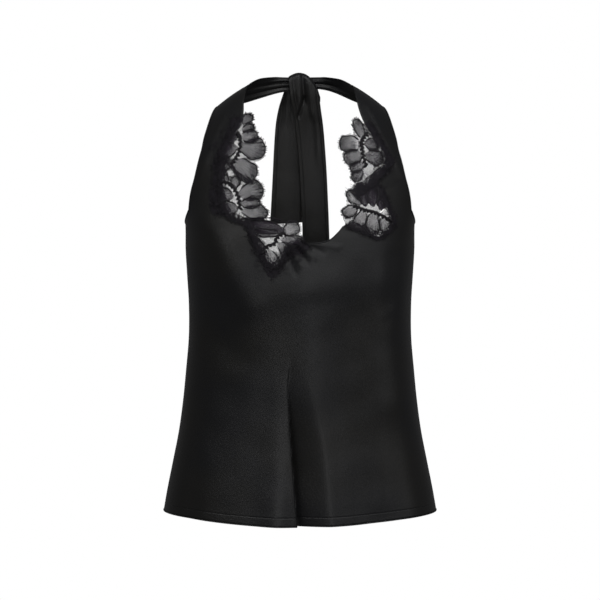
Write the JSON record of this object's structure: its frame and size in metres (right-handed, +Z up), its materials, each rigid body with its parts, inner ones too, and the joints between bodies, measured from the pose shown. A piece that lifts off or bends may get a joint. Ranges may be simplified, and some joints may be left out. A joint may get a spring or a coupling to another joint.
{
  "type": "halter neck top",
  "caption": "Sleeveless halter neck top in satin with scalloped lace at the neckline, tied in a knot behind the neck, low at the back.",
  "frame": {"origin": "where the knot rests on the nape of the neck, the point that the top is held up by", "axes": "+Z up, the front of the top faces -Y, +X to the right of someone who looks at the front"},
  "size_m": [0.3686, 0.2481, 0.6126],
  "materials": {
    "satin": "near-black bias-cut satin with a soft sheen",
    "lace": "black floral lace on fine net, with corded scalloped edges and short fringe"
  },
  "bodies": {
    "root": {"front": "satin", "back": "satin", "neck_band_left": "satin", "neck_band_right": "satin", "knot": "satin", "tie_left": "satin", "tie_right": "satin", "lace_left": "lace", "lace_centre": "lace", "lace_right": "lace"}
  },
  "joints": []
}
